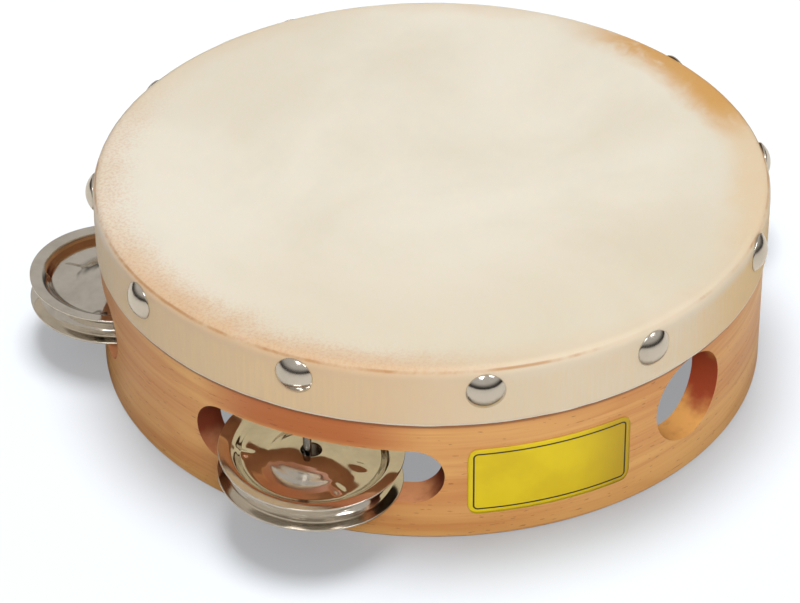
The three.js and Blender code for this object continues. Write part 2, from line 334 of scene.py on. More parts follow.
hoop = {
    "wall": 9.5 * mm,
    "edgeRound": 0.7 * mm,
    "shoulder": 2.1 * mm,    # the wider rounding that the hide bends over
    "slotHeight": 18.37 * mm,
    "slotLength": 78.7 * mm,
    "slotFloor": 12.9 * mm,
    "slotFromPin": [1.6, 0.3, 0.5, -0.7],  # degrees
    "handHole": {"azimuth": -92.55, "height": 25.77 * mm, "diameter": 28.6 * mm},
    "nailSink": {"diameter": 5.4 * mm, "depth": 1.6 * mm},
    "cutPast": 4 * mm,       # how far a cutter reaches past the wood
    "cutRound": 0.3 * mm,
    "sliver": 0.015 * mm,    # faces thinner than this are dropped
    "sharpFrom": 50,         # degrees between two faces whose edge is rounded
    "tinyFace": 2 * mm * mm,  # smaller faces don't turn the shading
    "flatFrom": 0.1,         # rise of the normal from which a face is no wall
    "steps": {"ring": 288, "edge": 6, "slotEnd": 12, "slotSide": 36, "sink": 32, "hand": 96, "round": 3},
    "seam": 30,              # degrees, where the grain starts and ends, at the back
    "woodPale": "dba665",
    "woodTan": "ca8c51",
    "woodRed": "b05c30",
    # dark colour of the wood's flecks, and of the painted shadow under the skirt
    "fleckAndShade": "7d4a2a",
    "cutDark": "a4482c",
    "cutPale": "f2b466",
    "cutRed": "e6a070",
    # burn marks and painted shade at the ends of the slots
    "cutBurntAndShaded": "55281a",
    "woodFinish": {"Specular IOR Level": 0.35, "Coat Weight": 0.12, "Coat Roughness": 0.3},
    "cutFinish": {"Roughness": 0.5},
    # noises: scales along the hoop, out and up, then detail, roughness and distortion
    "grain": ((22, 400, 900), 5.0, 0.6, 0.3),
    "flame": ((8, 60, 90), 3.0, 0.55, 1.0),
    "patch": ((7, 10, 25), 2.0, 0.5),
    "speck": ((330, 500, 1500), 1.0, 0.4),
    "cutGrain": ((120, 260, 800), 4.0, 0.6, 0.3),
    "burn": (110.0, 3.0, 0.55),
    # how a noise becomes an amount: low, high, least and most
    "flameTint": (0.35, 0.65),
    "patchTint": (0.48, 0.7, 0.0, 0.5),
    "grainTint": (0.5, 0.75, 0.0, 0.3),
    "speckTint": (0.68, 0.75, 0.0, 0.5),
    "grainRough": (0.3, 0.7, 0.36, 0.5),
    "cutTint": (0.35, 1.0),
    "cutGrainTint": (0.5, 0.8, 0.0, 0.3),
    # degrees from a slot's or the hand hole's middle at which a tone is full and gone
    "frontTurn": (5, 22),
    "handPale": (12, 20),
    "handMiddle": (15, 20),
    "slotMiddle": (19, 22.5),
    "frontRise": (30 * mm, 33 * mm),
    "frontTint": 0.85,
    "shadeBelow": (1.9 * mm, 1.1 * mm),  # painted shadow: a dark line on the wood just under the skirt
    "shadeTint": 0.75,
    "burnAmount": 1.1,
    "burntAndShadedTint": 0.75,
    "woodBump": (0.06 * mm, 0.4),
    "cutBump": (0.1 * mm, 0.4),
}
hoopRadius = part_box("hoop")[1].x
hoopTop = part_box("hoop")[1].z
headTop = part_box("drum_head")[1].z
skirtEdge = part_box("drum_head")[0].z
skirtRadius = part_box("drum_head")[1].x
pins = [f"jingle_pin_{number}" for number in range(1, 5)]
tacks = [f"tack_{number:02d}" for number in range(1, 12)]


def wrapped(tree):  # a point, and its distances round the hoop, out from the axis and up
    where = add(tree, "ShaderNodeTexCoord").outputs["Object"]
    x, y, z = add(tree, "ShaderNodeSeparateXYZ", [where]).outputs
    angle = maths(tree, "ARCTAN2", y, x)
    past = maths(tree, "GREATER_THAN", angle, math.radians(hoop["seam"]))
    around = product(tree, maths(tree, "MULTIPLY_ADD", past, -2 * math.pi, angle), hoopRadius)
    return where, (around, maths(tree, "SQRT", squares(tree, x, y)), z)


def stretchedNoise(tree, spot, look):
    scales, *rest = look
    parts = [product(tree, value, scale) for value, scale in zip(spot, scales)]
    return noiseOf(tree, add(tree, "ShaderNodeCombineXYZ", parts).outputs[0], (1.0, *rest))


def towards(tree, where, degrees, narrow, wide):  # 1 where a point faces an azimuth, fading to 0
    flat = add(tree, "ShaderNodeVectorMath", [where, (1, 1, 0)], operation="MULTIPLY").outputs[0]
    unit = add(tree, "ShaderNodeVectorMath", [flat], operation="NORMALIZE").outputs[0]
    aim = atAzimuth(1, degrees, 0)
    facing = add(tree, "ShaderNodeVectorMath", [unit, aim], operation="DOT_PRODUCT").outputs["Value"]
    return ramp(tree, facing, math.cos(math.radians(wide)), math.cos(math.radians(narrow)))


def makeWood():
    made, tree, shader = material("bentWood", hoop["woodFinish"])
    where, spot = wrapped(tree)
    grain, flame, patch, speck = [stretchedNoise(tree, spot, hoop[name])
                                  for name in ("grain", "flame", "patch", "speck")]
    red, fleckAndShade = colour(hoop["woodRed"]), colour(hoop["fleckAndShade"])
    flaming = ramp(tree, flame, *hoop["flameTint"])
    tone = mixed(tree, flaming, colour(hoop["woodTan"]), colour(hoop["woodPale"]))
    tone = mixed(tree, ramp(tree, patch, *hoop["patchTint"]), tone, red)
    front = towards(tree, where, azimuthOf(pins[0]), *hoop["frontTurn"])
    front = product(tree, front, ramp(tree, spot[2], *hoop["frontRise"]), hoop["frontTint"])
    tone = mixed(tree, front, tone, red)
    tone = mixed(tree, ramp(tree, grain, *hoop["grainTint"]), tone, red)
    tone = mixed(tree, ramp(tree, speck, *hoop["speckTint"]), tone, fleckAndShade)
    # painted shadow: the wood just under the skirt's edge is darkened towards the fleck colour
    low, high = hoop["shadeBelow"]
    shade = ramp(tree, spot[2], skirtEdge - low, skirtEdge - high, 0.0, hoop["shadeTint"])
    tree.links.new(mixed(tree, shade, tone, fleckAndShade), shader.inputs["Base Color"])
    tree.links.new(ramp(tree, grain, *hoop["grainRough"]), shader.inputs["Roughness"])
    bump(tree, shader, grain, *hoop["woodBump"])
    return made


def makeCutWood():
    made, tree, shader = material("cutWood", hoop["cutFinish"])
    where, spot = wrapped(tree)
    grain = stretchedNoise(tree, spot, hoop["cutGrain"])
    burn = noiseOf(tree, where, hoop["burn"])
    facing = add(tree, "ShaderNodeNewGeometry").outputs["Normal"]
    level = maths(tree, "ABSOLUTE", add(tree, "ShaderNodeSeparateXYZ", [facing]).outputs["Z"])
    uneven = product(tree, maths(tree, "SUBTRACT", burn, 0.5), hoop["burnAmount"])
    lit = maths(tree, "ADD", level, uneven)
    hand = hoop["handHole"]["azimuth"]
    held = towards(tree, where, hand, *hoop["handPale"])
    pale = mixed(tree, held, colour(hoop["cutRed"]), colour(hoop["cutPale"]))
    tone = mixed(tree, ramp(tree, lit, *hoop["cutTint"]), colour(hoop["cutDark"]), pale)
    tone = mixed(tree, ramp(tree, grain, *hoop["cutGrainTint"]), tone, colour(hoop["cutDark"]))
    # away from the middles of the slots and the hand hole the cut wood darkens: partly burn marks, partly
    # painted shade in the deep ends
    middle = towards(tree, where, hand, *hoop["handMiddle"])
    for pin, fromPin in zip(pins, hoop["slotFromPin"]):
        slot = towards(tree, where, azimuthOf(pin) + fromPin, *hoop["slotMiddle"])
        middle = maths(tree, "MAXIMUM", middle, slot)
    burntAndShaded = product(tree, maths(tree, "SUBTRACT", 1.0, middle), hoop["burntAndShadedTint"])
    tree.links.new(mixed(tree, burntAndShaded, tone, colour(hoop["cutBurntAndShaded"])), shader.inputs["Base Color"])
    bump(tree, shader, grain, *hoop["cutBump"])
    return made


# cuts an outline of [along, height] points through the hoop
def bentCutter(name, outline, middle, inner, outer):
    vertices = []
    for radius in (inner, outer):
        for along, height in outline:
            vertices.append(atAzimuth(radius, middle + math.degrees(along / hoopRadius), height))
    count = len(outline)
    faces = [[step, (step + 1) % count, count + (step + 1) % count, count + step]
             for step in range(count)]
    half = count // 2
    for step in range(half - 1):  # strips across the two ends, from the lower edge to the upper one
        a, b, c, d = step, step + 1, count - 2 - step, count - 1 - step
        faces.append([d, c, b, a])
        faces.append([count + a, count + b, count + c, count + d])
    return meshObject(name, vertices, faces, smooth=False)


def slotOutline():
    reach = hoop["slotHeight"] / 2
    straight = hoop["slotLength"] / 2 - reach
    middle = hoop["slotFloor"] + reach
    quarter, side = hoop["steps"]["slotEnd"], hoop["steps"]["slotSide"]
    left = []
    for step in range(quarter + 1):
        angle = math.pi / 2 * step / quarter
        left.append((-straight - reach * math.cos(angle), middle - reach * math.sin(angle)))
    floor = [(-straight + 2 * straight * step / side, middle - reach) for step in range(1, side)]
    lower = left + floor + [(-along, height) for along, height in reversed(left)]
    return lower + [(along, 2 * middle - height) for along, height in reversed(lower)]


def cutFrom(body, cutter):
    modifier = body.modifiers.new("cut", "BOOLEAN")
    modifier.operation = "DIFFERENCE"
    modifier.solver = "EXACT"
    modifier.material_mode = "TRANSFER"
    modifier.object = cutter
    evaluated(body)
    bpy.data.objects.remove(cutter)


def remeshed(body, change):  # a bmesh change made on the body's own mesh
    shape = bmesh.new()
    shape.from_mesh(body.data)
    change(shape)
    shape.to_mesh(body.data)
    shape.free()


def mergeCutEdges(shape):  # joins the points that lie too close together along the cuts
    edge = [corner for corner in shape.verts
            if len({face.material_index for face in corner.link_faces}) > 1]
    bmesh.ops.remove_doubles(shape, verts=edge, dist=hoop["cutRound"])


def dropSlivers(shape):
    bmesh.ops.dissolve_degenerate(shape, dist=hoop["sliver"], edges=shape.edges)


def trueNormals(body):  # the bent walls face out from the axis, and each cut wall is smooth by itself
    mesh = body.data
    cutNormals, wallNormals = {}, {}
    for face in mesh.polygons:
        if face.area <= hoop["tinyFace"]:
            continue
        for corner in face.vertices:
            if face.material_index == 1:
                cutNormals[corner] = cutNormals.get(corner, Vector()) + face.normal * face.area
            elif abs(face.normal.z) < hoop["flatFrom"]:
                spot = mesh.vertices[corner].co
                side = 1 if face.normal.x * spot.x + face.normal.y * spot.y > 0 else -1
                wallNormals[corner] = Vector((spot.x, spot.y, 0)).normalized() * side
    normals = [None] * len(mesh.loops)
    for face in mesh.polygons:
        cut = face.material_index == 1 and face.area > hoop["tinyFace"]
        own, other = (cutNormals, wallNormals) if cut else (wallNormals, cutNormals)
        for loop in face.loop_indices:
            corner = mesh.loops[loop].vertex_index
            found = own.get(corner) or other.get(corner) or mesh.vertices[corner].normal
            normals[loop] = tuple(found.normalized())
    mesh.normals_split_custom_set(normals)


def hoopCutters(inner):
    past, steps = hoop["cutPast"], hoop["steps"]
    sink, hand = hoop["nailSink"], hoop["handHole"]
    width, depth = sink["diameter"] / 2, sink["depth"]
    for pin, fromPin in zip(pins, hoop["slotFromPin"]):
        turn = azimuthOf(pin) + fromPin
        yield bentCutter("slotCutter", slotOutline(), turn, inner - past, hoopRadius + past)
        outline = [(0, -past), (width, -past), (width, depth), (0, depth)]
        well = lathe("sinkCutter", outline, steps["sink"], closed=False)
        middle = middleOf(pin)
        well.data.transform(Matrix.Translation((middle.x, middle.y, 0)))
        yield well
    reach, near, far = hand["diameter"] / 2, inner - past, hoopRadius + past
    outline = [(0, near), (reach, near), (reach, far), (0, far)]
    hole = lathe("handCutter", outline, steps["hand"], closed=False)
    turn = Matrix.Rotation(math.radians(hand["azimuth"]), 4, "Z") @ Matrix.Rotation(math.pi / 2, 4, "Y")
    hole.data.transform(Matrix.Translation((0, 0, hand["height"])) @ turn)
    yield hole


def makeHoop():
    inner = hoopRadius - hoop["wall"]
    edge, shoulder, steps = hoop["edgeRound"], hoop["shoulder"], hoop["steps"]
    outline = arc((hoopRadius - edge, edge), edge, -90, 0, steps["edge"])
    outline += arc((hoopRadius - shoulder, hoopTop - shoulder), shoulder, 0, 90, steps["edge"])
    outline += arc((inner + edge, hoopTop - edge), edge, 90, 180, steps["edge"])
    outline += arc((inner + edge, edge), edge, 180, 270, steps["edge"])
    body = lathe("woodHoop", outline, steps["ring"], closed=True)
    body.data.materials.append(makeWood())
    cutWood = makeCutWood()
    for cutter in hoopCutters(inner):
        cutter.data.materials.append(cutWood)
        cutFrom(body, cutter)
    remeshed(body, mergeCutEdges)
    soften(body, hoop["cutRound"], steps["round"], hoop["sharpFrom"])
    smoothShaded(body.data)
    evaluated(body)
    remeshed(body, dropSlivers)
    trueNormals(body)
    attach(body, "drum")
    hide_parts("hoop")


makeHoop()
print("hoop is bent and cut")


# Head: a hide disc with its skirt

hide = {
    "thickness": 0.6 * mm,
    "bend": 3 * mm,
    "lip": {"in": 0.15 * mm, "up": 0.2 * mm},  # rounding of the skirt's cut edge
    "steps": {"ring": 480, "skirt": 16, "bend": 12, "top": 24, "inside": 8},
    "still": 30 * mm,      # radius within which the head is flat
    "sway": {"waves": 9, "seed": 3.0, "size": 0.16 * mm},
    "ripple": {"waves": 30, "rise": 60, "size": 0.1 * mm},
    "held": 9 * mm,        # how far a tack holds the skirt flat
    "flare": 0.05 * mm,
    "edgeWave": {"power": 6, "size": 0.35 * mm},
    "cream": "e5dfd2",
    "greyCream": "dcd5c5",
    "straw": "d0c2a4",
    "tan": "dcc096",
    "tanRight": "d9b67f",
    "peach": "d3ae83",
    "amber": "cb9440",
    "rose": "c8997a",
    "creaseBrown": "b0742f",
    "through": "cbc09e",   # painted glow on the hide's underside, standing in for daylight through the hide, seen from inside
    "finish": {"Subsurface Weight": 0.3, "Subsurface Radius": (1.0, 0.7, 0.45), "Subsurface Scale": 1 * mm},
    # noises: scale, detail, roughness and distortion, and three scales where the noise is stretched
    "cloud": (13.0, 4.0, 0.55, 0.5),
    "fibre": (1100.0, 4.0, 0.7),
    "wander": (40.0, 4.0, 0.65, 0.5),
    "blotch": (70.0, 3.0, 0.6, 0.4),
    "streak": ((900, 40, 60), 3.0, 0.6),
    # azimuth of a tone, and the degrees from it at which the tone is full and gone
    "strawSide": (-128, 15, 85),
    "blushSide": (188, 15, 48),
    "agedSide": (-45, 15, 40),
    "amberSide": (-15, 10, 27),
    "palerSide": (-125, 12, 45),
    "brownedSide": (-55, 15, 42),
    "hairSide": (165, 30, 75),
    # how a noise or a radius becomes an amount: low, high, least and most
    "cloudTint": (0.35, 0.68),
    "strawOut": (20 * mm, 90 * mm, 0.0, 0.4),
    "rimOut": (90 * mm, 102.5 * mm),
    "agedOut": (86 * mm, 98 * mm),
    "blotchTint": (0.3, 0.5, 0.3, 1.0),
    "streakTint": (0.35, 0.7, 0.35, 0.95),
    "freckleTint": (0.42, 0.66),
    "creaseTint": (0.4, 0.62, 0.1, 1.0),
    "fibreRough": (0.3, 0.7, 0.5, 0.68),
    # the same for a depth below the head's top
    "amberDeep": (7 * mm, 2 * mm, 0.3, 1.0),
    "skirtDeep": (2.5 * mm, 6 * mm),
    "hairDeep": (2.2 * mm, 0.8 * mm, 0.0, 0.42),
    "creaseDeep": (3 * mm, 1.5 * mm),
    "wanderBy": 16 * mm,  # how far the rim's tones wander in and out
    "blush": (0.5, 0.25),  # amount added on its side, and amount all round
    "strawAmount": 0.5,
    "amberAmount": 0.85,
    "palerAmount": 0.6,
    "brownedAmount": 0.75,
    "crease": {"radius": 101.7 * mm, "outer": 0.45 * mm, "inner": 0.1 * mm, "amount": 0.65},
    # painted highlight on the skirt's cut edge: heights above the edge where it fades, and its amount
    "edgeHighlight": {"high": 0.7 * mm, "low": 0.45 * mm, "amount": 0.7},
    "facingDown": (-0.5, -0.95),
    "glowOut": (92.5 * mm, 91.5 * mm, 0.0, 1.0),
    "bump": (0.04 * mm, 0.5),
}


def belowTop(tree, z, low, high, least=0.0, most=1.0):
    return ramp(tree, z, headTop - low, headTop - high, least, most)


def makeHide():
    made, tree, shader = material("rawhide", hide["finish"])
    where, spot = wrapped(tree)
    out, z = spot[1:]
    cloud, fibre, wander, blotch = [noiseOf(tree, where, hide[name])
                                    for name in ("cloud", "fibre", "wander", "blotch")]
    streak = stretchedNoise(tree, spot, hide["streak"])
    side = {name: towards(tree, where, *hide[name + "Side"])
            for name in ("straw", "blush", "aged", "amber", "paler", "browned", "hair")}
    cloudy = ramp(tree, cloud, *hide["cloudTint"])
    tone = mixed(tree, cloudy, colour(hide["cream"]), colour(hide["greyCream"]))

    def tint(name, *shares):  # the tone so far, tinted by the product of the shares
        return mixed(tree, product(tree, *shares), tone, colour(hide[name]))

    # the flat head: grey cream, straw near the front, and a rim that wanders in and out
    tone = tint("straw", side["straw"], ramp(tree, out, *hide["strawOut"]))
    astray = product(tree, maths(tree, "SUBTRACT", wander, 0.5), hide["wanderBy"])
    edge = maths(tree, "ADD", out, astray)
    blush = maths(tree, "MULTIPLY_ADD", side["blush"], *hide["blush"])
    tone = tint("peach", ramp(tree, edge, *hide["rimOut"]), blush)
    aged = ramp(tree, edge, *hide["agedOut"])
    tone = tint("tan", aged, side["aged"], hide["strawAmount"])
    broken = ramp(tree, blotch, *hide["blotchTint"])
    deep = belowTop(tree, z, *hide["amberDeep"])
    tone = tint("amber", aged, side["amber"], broken, deep, hide["amberAmount"])

    # the skirt: tan streaks, paler in front and browner at the right
    down = belowTop(tree, z, *hide["skirtDeep"])
    full = maths(tree, "SUBTRACT", 1.0, product(tree, side["paler"], hide["palerAmount"]))
    tone = tint("tan", down, ramp(tree, streak, *hide["streakTint"]), full)
    tone = tint("tanRight", side["browned"], down, hide["brownedAmount"])

    # hair marks at the left, the crease where the hide bends, and a painted highlight on the cut edge
    freckle = ramp(tree, fibre, *hide["freckleTint"])
    tone = tint("rose", aged, side["hair"], belowTop(tree, z, *hide["hairDeep"]), freckle)
    crease = hide["crease"]
    away = maths(tree, "ABSOLUTE", maths(tree, "SUBTRACT", out, crease["radius"]))
    line = ramp(tree, away, crease["outer"], crease["inner"], 0.0, crease["amount"])
    broken = ramp(tree, wander, *hide["creaseTint"])
    tone = tint("creaseBrown", line, belowTop(tree, z, *hide["creaseDeep"]), broken)
    # painted highlight: the lowest strip of the skirt, at its cut edge, turns cream
    cut = hide["edgeHighlight"]
    lip = ramp(tree, z, skirtEdge + cut["high"], skirtEdge + cut["low"], 0.0, cut["amount"])
    tone = tint("cream", lip)
    tree.links.new(tone, shader.inputs["Base Color"])
    tree.links.new(ramp(tree, fibre, *hide["fibreRough"]), shader.inputs["Roughness"])

    # painted glow standing in for daylight through the hide, on the side that faces down inside the hoop,
    # seen only by the camera and in mirrors
    normal = add(tree, "ShaderNodeNewGeometry").outputs["True Normal"]
    below = ramp(tree, add(tree, "ShaderNodeSeparateXYZ", [normal]).outputs["Z"], *hide["facingDown"])
    rays = add(tree, "ShaderNodeLightPath").outputs
    seen = maths(tree, "MAXIMUM", rays["Is Camera Ray"], rays["Is Glossy Ray"])
    shader.inputs["Emission Color"].default_value = colour(hide["through"])
    glow = product(tree, below, seen, ramp(tree, out, *hide["glowOut"]))
    tree.links.new(glow, shader.inputs["Emission Strength"])
    bump(tree, shader, fibre, *hide["bump"])
    return made


def headOutline():
    bend, thick, lip, steps = hide["bend"], hide["thickness"], hide["lip"], hide["steps"]
    centre = (skirtRadius - bend, headTop - bend)
    rise = centre[1] - skirtEdge
    outline = [(skirtRadius - thick, skirtEdge), (skirtRadius - lip["in"], skirtEdge)]
    outline += [(skirtRadius, skirtEdge + lip["up"] + (rise - lip["up"]) * step / steps["skirt"])
                for step in range(steps["skirt"])]
    outline += arc(centre, bend, 0, 90, steps["bend"])
    outline += [(centre[0] * (1 - step / steps["top"]), headTop) for step in range(1, steps["top"] + 1)]
    outline += [(centre[0] * step / steps["top"], headTop - thick) for step in range(steps["top"])]
    outline += arc(centre, bend - thick, 90, 0, steps["inside"])
    outline += [(skirtRadius - thick, centre[1] - rise * step / steps["inside"])
                for step in range(1, steps["inside"])]
    return outline, centre[0] + bend * math.pi / 2 + rise


def makeHead():
    outline, cut = headOutline()  # cut is the radius of the round hide before it was turned down
    body = lathe("hideHead", outline, hide["steps"]["ring"], closed=True)
    tackAngles = [math.radians(azimuthOf(node)) for node in tacks]
    sway, ripple, wave = hide["sway"], hide["ripple"], hide["edgeWave"]
    for vertex in body.data.vertices:
        spot = vertex.co
        radius = math.hypot(spot.x, spot.y)
        if radius < hide["still"]:
            continue
        angle = math.atan2(spot.y, spot.x)
        low = max(0.0, min(1.0, (headTop - spot.z) / (headTop - skirtEdge)))
        swayed = noise.noise(atAzimuth(sway["waves"], math.degrees(angle), sway["seed"]))
        rippled = noise.noise(atAzimuth(ripple["waves"], math.degrees(angle), spot.z * ripple["rise"]))
        near = min(abs((angle - tack + math.pi) % (2 * math.pi) - math.pi) for tack in tackAngles)
        free = 1 - math.exp(-(near * radius / hide["held"]) ** 2)
        out = (sway["size"] * swayed * low + ripple["size"] * rippled) * free + hide["flare"] * low
        scale = (radius + out) / radius
        spot.x *= scale
        spot.y *= scale
        spot.z += low ** wave["power"] * wave["size"] * swayed
    body.data.update()
    body.data.materials.append(makeHide())
    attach(body, "drum")
    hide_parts("drum_head")


makeHead()
print("head is stretched")


# Tacks and nails, each set out on the frame by one small tree

tack = {
    "radius": 5.8 * mm,
    "dome": 2.6 * mm,
    "brim": 0.5 * mm,
    "brimDown": (0.34 * mm, 0.3 * mm),  # how far the brim's inside and its edge hang
    "edgeIn": 0.05 * mm,
    "shank": 0.9 * mm,
    "length": 8 * mm,
    "taper": 2.5 * mm,
    "seat": 0.15 * mm,         # how far the brim stands off the hide
    "turns": 0.6,              # how far a tack may be turned, radians
    "seed": 4,
    "steps": {"dome": 20, "round": 48},
    "rough": 0.1,
}
nail = {
    "radius": 1.25 * mm,
    "head": 2.5 * mm,
    "headHeight": 1 * mm,
    "headRound": 0.2 * mm,
    "fillet": 0.3 * mm,
    "taper": 2 * mm,
    "tip": {"radius": 0.2 * mm, "height": 0.1 * mm},
    "turns": 6.0,
    "seed": 9,
    "steps": 40,
    "rough": 0.1,
}
metal = {
    "nickel": "d8d3cb",
    "shade": "b9b3aa",
    "steel": "8d8b88",
    "cloud": (90.0, 3.0, 0.6),
    "cloudTint": (0.4, 0.75, 0.0, 0.5),
    "cloudRough": (0.3, 0.7),
    "rougher": 0.1,            # how much rougher the dull places are
    "fine": (700.0, 2.0, 0.6),
    "fineBump": (0.01 * mm, 0.4),
    "brushScales": (3.0, 4200.0, 1.0),  # along and across the rings that a jingle is brushed in
    "brush": (1.0, 2.0, 0.5),
    "brushBump": (0.012 * mm, 0.6),
}


def makeMetal(name, tint, rough, brushed=False):
    made, tree, shader = material(name, {"Metallic": 1.0})
    where = add(tree, "ShaderNodeTexCoord").outputs["Object"]
    cloud = noiseOf(tree, where, metal["cloud"])
    dull = ramp(tree, cloud, *metal["cloudTint"])
    tree.links.new(mixed(tree, dull, colour(tint), colour(metal["shade"])), shader.inputs["Base Color"])
    dull = ramp(tree, cloud, *metal["cloudRough"], rough, rough + metal["rougher"])
    tree.links.new(dull, shader.inputs["Roughness"])
    if brushed:
        rings = add(tree, "ShaderNodeUVMap", uv_map="jingleUV").outputs[0]
        across = add(tree, "ShaderNodeVectorMath", [rings, metal["brushScales"]], operation="MULTIPLY")
        bump(tree, shader, noiseOf(tree, across.outputs[0], metal["brush"]), *metal["brushBump"])
    else:
        bump(tree, shader, noiseOf(tree, where, metal["fine"]), *metal["fineBump"])
    return made


def spreadTree(name):  # copies of a shape on each point, turned to the point's own facing
    tree, given, result = newTree(name, [("Shape", "Object"), ("Material", "Material"), ("Seed", "Int"),
                                         ("Turn", "Float")])
    shape = add(tree, "GeometryNodeObjectInfo", {"Object": given["Shape"]}).outputs["Geometry"]
    facing = add(tree, "GeometryNodeInputNamedAttribute", {"Name": "facing"}, data_type="FLOAT_VECTOR")
    turned = add(tree, "FunctionNodeAlignRotationToVector", {"Vector": facing.outputs[0]}, axis="Z")
    spin = add(tree, "FunctionNodeRandomValue", {"Min": 0.0, "Seed": given["Seed"]}, data_type="FLOAT")
    tree.links.new(given["Turn"], spin.inputs[3])
    turn = add(tree, "ShaderNodeCombineXYZ", {"Z": spin.outputs[1]}).outputs[0]
    own = add(tree, "FunctionNodeRotateRotation", {"Rotation": turned.outputs[0], "Rotate By": turn},
              rotation_space="LOCAL").outputs[0]
    copies = add(tree, "GeometryNodeInstanceOnPoints",
                 {"Points": given["Geometry"], "Instance": shape, "Rotation": own})
    real = add(tree, "GeometryNodeRealizeInstances", {"Geometry": copies.outputs[0]})
    dressed = add(tree, "GeometryNodeSetMaterial",
                  {"Geometry": real.outputs[0], "Material": given["Material"]})
    tree.links.new(dressed.outputs[0], result.inputs[0])
    return tree


def spread(name, shape, seats, finish, kind):  # seats are pairs of a point and a facing
    made = meshObject(name, [point for point, facing in seats], [], smooth=False)
    facing = made.data.attributes.new("facing", "FLOAT_VECTOR", "POINT")
    facing.data.foreach_set("vector", [part for point, facing in seats for part in facing])
    values = {"Shape": shape, "Material": finish, "Seed": kind["seed"], "Turn": kind["turns"]}
    nodesOn(made, spreadTree(name + "Tree"), values)
    evaluated(made)
    bpy.data.objects.remove(shape)
    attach(made, "drum")
    return made


def makeTacks():
    radius, dome, brim, shank = tack["radius"], tack["dome"], tack["brim"], tack["shank"]
    ball = (radius ** 2 + dome ** 2) / (2 * dome)
    reach = math.degrees(math.asin(radius / ball))
    foot = -tack["length"]
    inside, edge = tack["brimDown"]
    outline = [(0, foot), (shank, foot + tack["taper"]), (shank, 0), (radius - brim, 0)]
    outline += [(radius - brim / 2, -inside), (radius - tack["edgeIn"], -edge)]
    outline += arc((0, dome - ball), ball, 90 - reach, 90, tack["steps"]["dome"])
    shape = lathe("tackShape", outline, tack["steps"]["round"], closed=False)
    seats = []
    for node in tacks:
        azimuth = azimuthOf(node)
        seat = atAzimuth(skirtRadius + tack["seat"], azimuth, middleOf(node).z)
        seats.append((seat, atAzimuth(1, azimuth, 0)))
    finish = makeMetal("tackNickel", metal["nickel"], tack["rough"])
    made = spread("tackRow", shape, seats, finish, tack)
    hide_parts(*tacks)


def makeNails():
    low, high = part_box(pins[0])
    foot, top = low.z, high.z
    neck = foot + nail["headHeight"]
    radius, head, fillet, bevel = nail["radius"], nail["head"], nail["fillet"], nail["headRound"]
    outline = [(0, foot), (head - bevel, foot), (head, foot + bevel), (head, neck)]
    outline += [(radius + fillet, neck), (radius, neck + fillet), (radius, top - nail["taper"])]
    outline += [(nail["tip"]["radius"], top - nail["tip"]["height"]), (0, top)]
    shape = lathe("nailShape", outline, nail["steps"], closed=False)
    seats = [(Vector((middleOf(pin).x, middleOf(pin).y, 0)), Vector((0, 0, 1))) for pin in pins]
    finish = makeMetal("nailSteel", metal["steel"], nail["rough"])
    made = spread("nailRow", shape, seats, finish, nail)
    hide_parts(*pins)


makeTacks()
makeNails()
print("tacks and nails are in")


# Jingles: thin dished discs with a flat rim and a few pressed crimps

jingle = {
    "hole": 3.1 * mm,
    "rim": 27 * mm,
    "depth": 3.4 * mm,
    "sheet": 0.6 * mm,
    # shares of the rim's radius and of the depth: raised middle, pressed ring, wall and flat rim
    "sectionShares": [(0.0, 0.84), (0.12, 0.84), (0.2, 0.8), (0.3, 0.63), (0.42, 0.31), (0.53, 0.05),
                      (0.6, 0.0), (0.69, 0.01), (0.74, 0.1), (0.79, 0.4), (0.86, 0.88), (0.89, 0.98),
                      (1.0, 1.0)],
    "rimShare": 0.95,          # shares of the radius that mark a CAD jingle's rim and its middle
    "middleShare": 0.3,
    "columns": 193,
    "rings": 81,
    "weld": 0.001 * mm,
    "edge": {"width": 0.14 * mm, "segments": 2, "least": 60},
    "rough": 0.06,
    "crimpHeight": 0.65 * mm,
    "crimpWide": 1.4 * mm,
    "crimpLong": 2.8 * mm,
    "crimpFade": (0.87, 0.8),  # shares of the rim's radius between which the crimps die out
    # where each jingle has its pressed crimps: degrees round it and millimetres from its middle
    "crimps": {
        "jingle_1_upper": [(128.6, 20), (-111, 16), (-65, 14.5)],
        "jingle_1_lower": [(20, 17), (140, 15), (-100, 19)],
        "jingle_2_upper": [(105, 16), (-153, 20), (-20, 16)],
        "jingle_2_lower": [(75, 18), (-160, 15), (-40, 18)],
        "jingle_3_upper": [(150, 17), (40, 19), (-75, 15)],
        "jingle_3_lower": [(-150, 16), (95, 15), (-30, 20)],
        "jingle_4_upper": [(60, 15), (175, 18), (-80, 17)],
        "jingle_4_lower": [(0, 16), (110, 19), (-120, 15)],
    },
}


def sectionCurve(tree, share):
    section = add(tree, "ShaderNodeFloatCurve", {"Value": share})
    curve = section.mapping.curves[0]
    points = jingle["sectionShares"]
    curve.points[0].location = points[0]
    curve.points[1].location = points[-1]
    for point in points[1:-1]:
        curve.points.new(*point)
    for point in curve.points:
        point.handle_type = "AUTO_CLAMPED"
    section.mapping.update()
    return section.outputs[0]


